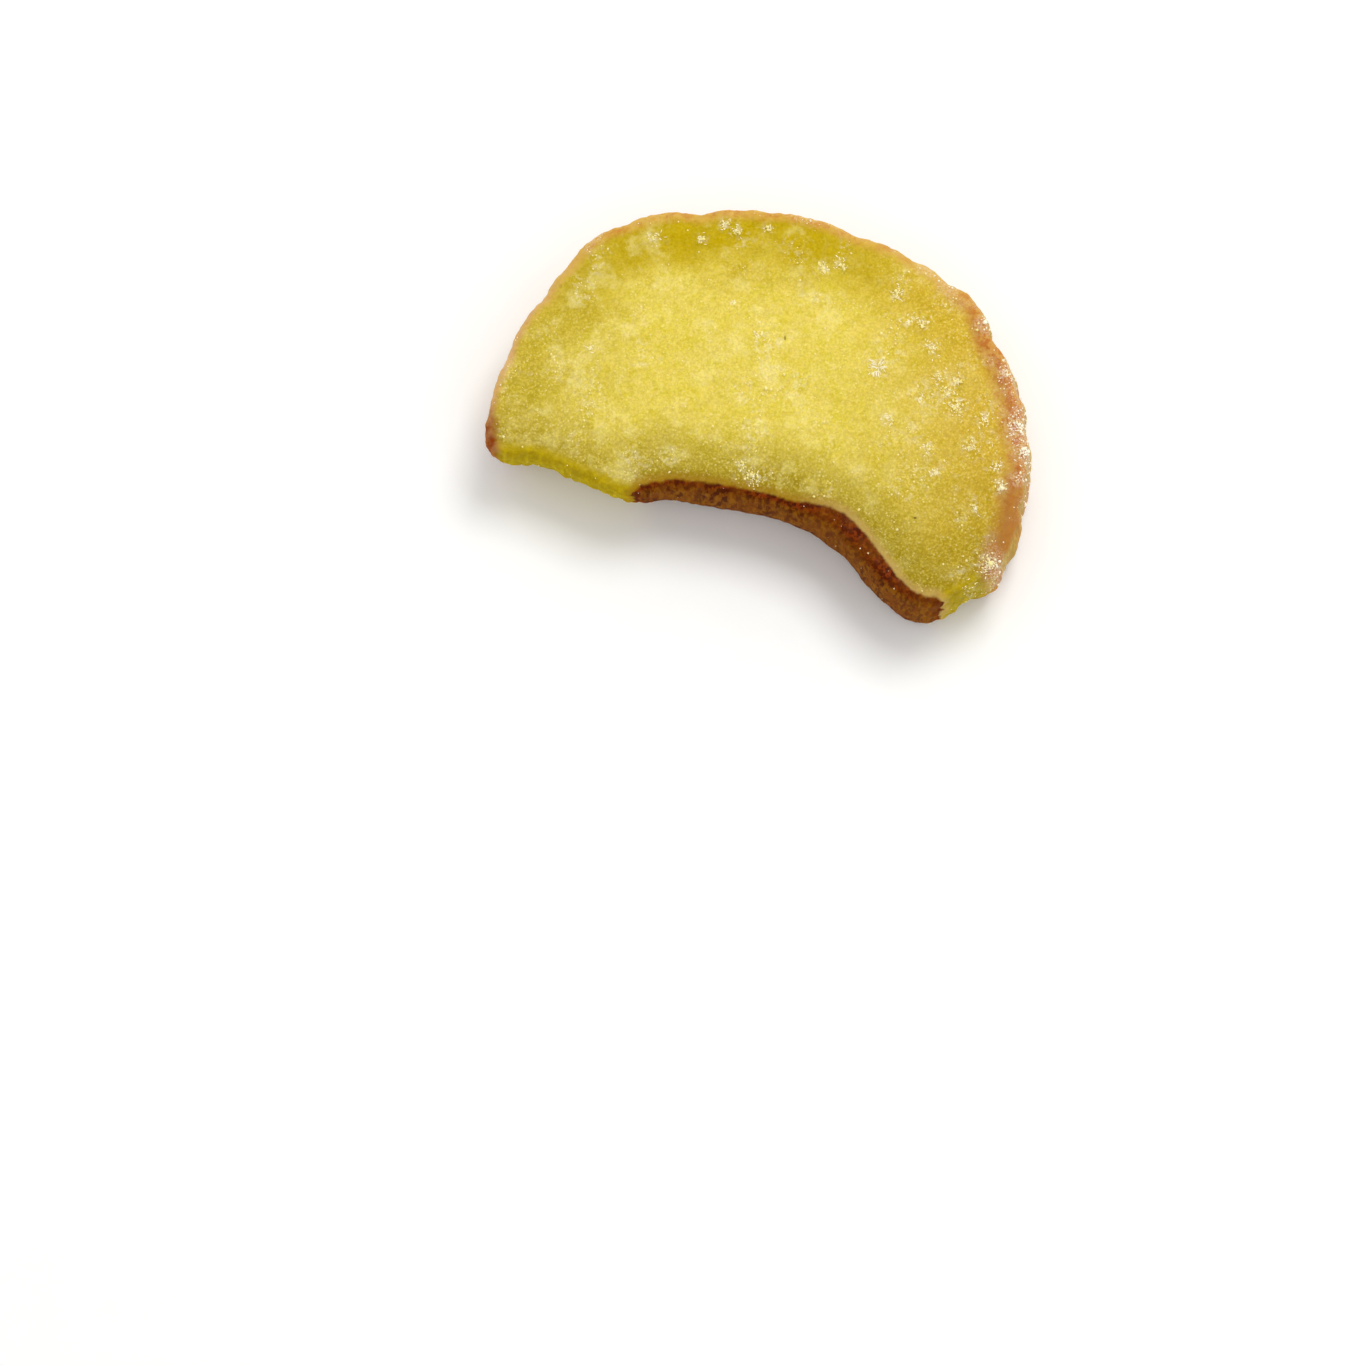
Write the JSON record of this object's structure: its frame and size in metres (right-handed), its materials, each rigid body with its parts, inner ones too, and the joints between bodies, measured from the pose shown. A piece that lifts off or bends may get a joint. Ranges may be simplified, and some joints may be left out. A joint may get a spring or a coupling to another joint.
{
  "type": "rhubarb stalk slice",
  "caption": "Crosswise slice of a thick rhubarb stalk, a half moon with a shallow groove and ribbed skin, lying on one cut face.",
  "frame": {"origin": "on the surface under the middle of the slice's box, at the lower cut face", "axes": "+X across the stalk towards the thick lobe, +Y from the groove to the ribbed back, +Z along the stalk from the lower cut to the upper cut"},
  "size_m": [0.0458, 0.0346, 0.0089],
  "materials": {
    "stalk_slice": "frosted yellow-green flesh with a thin red-brown skin"
  },
  "bodies": {
    "root": {"stalk_slice": "stalk_slice"}
  },
  "joints": []
}
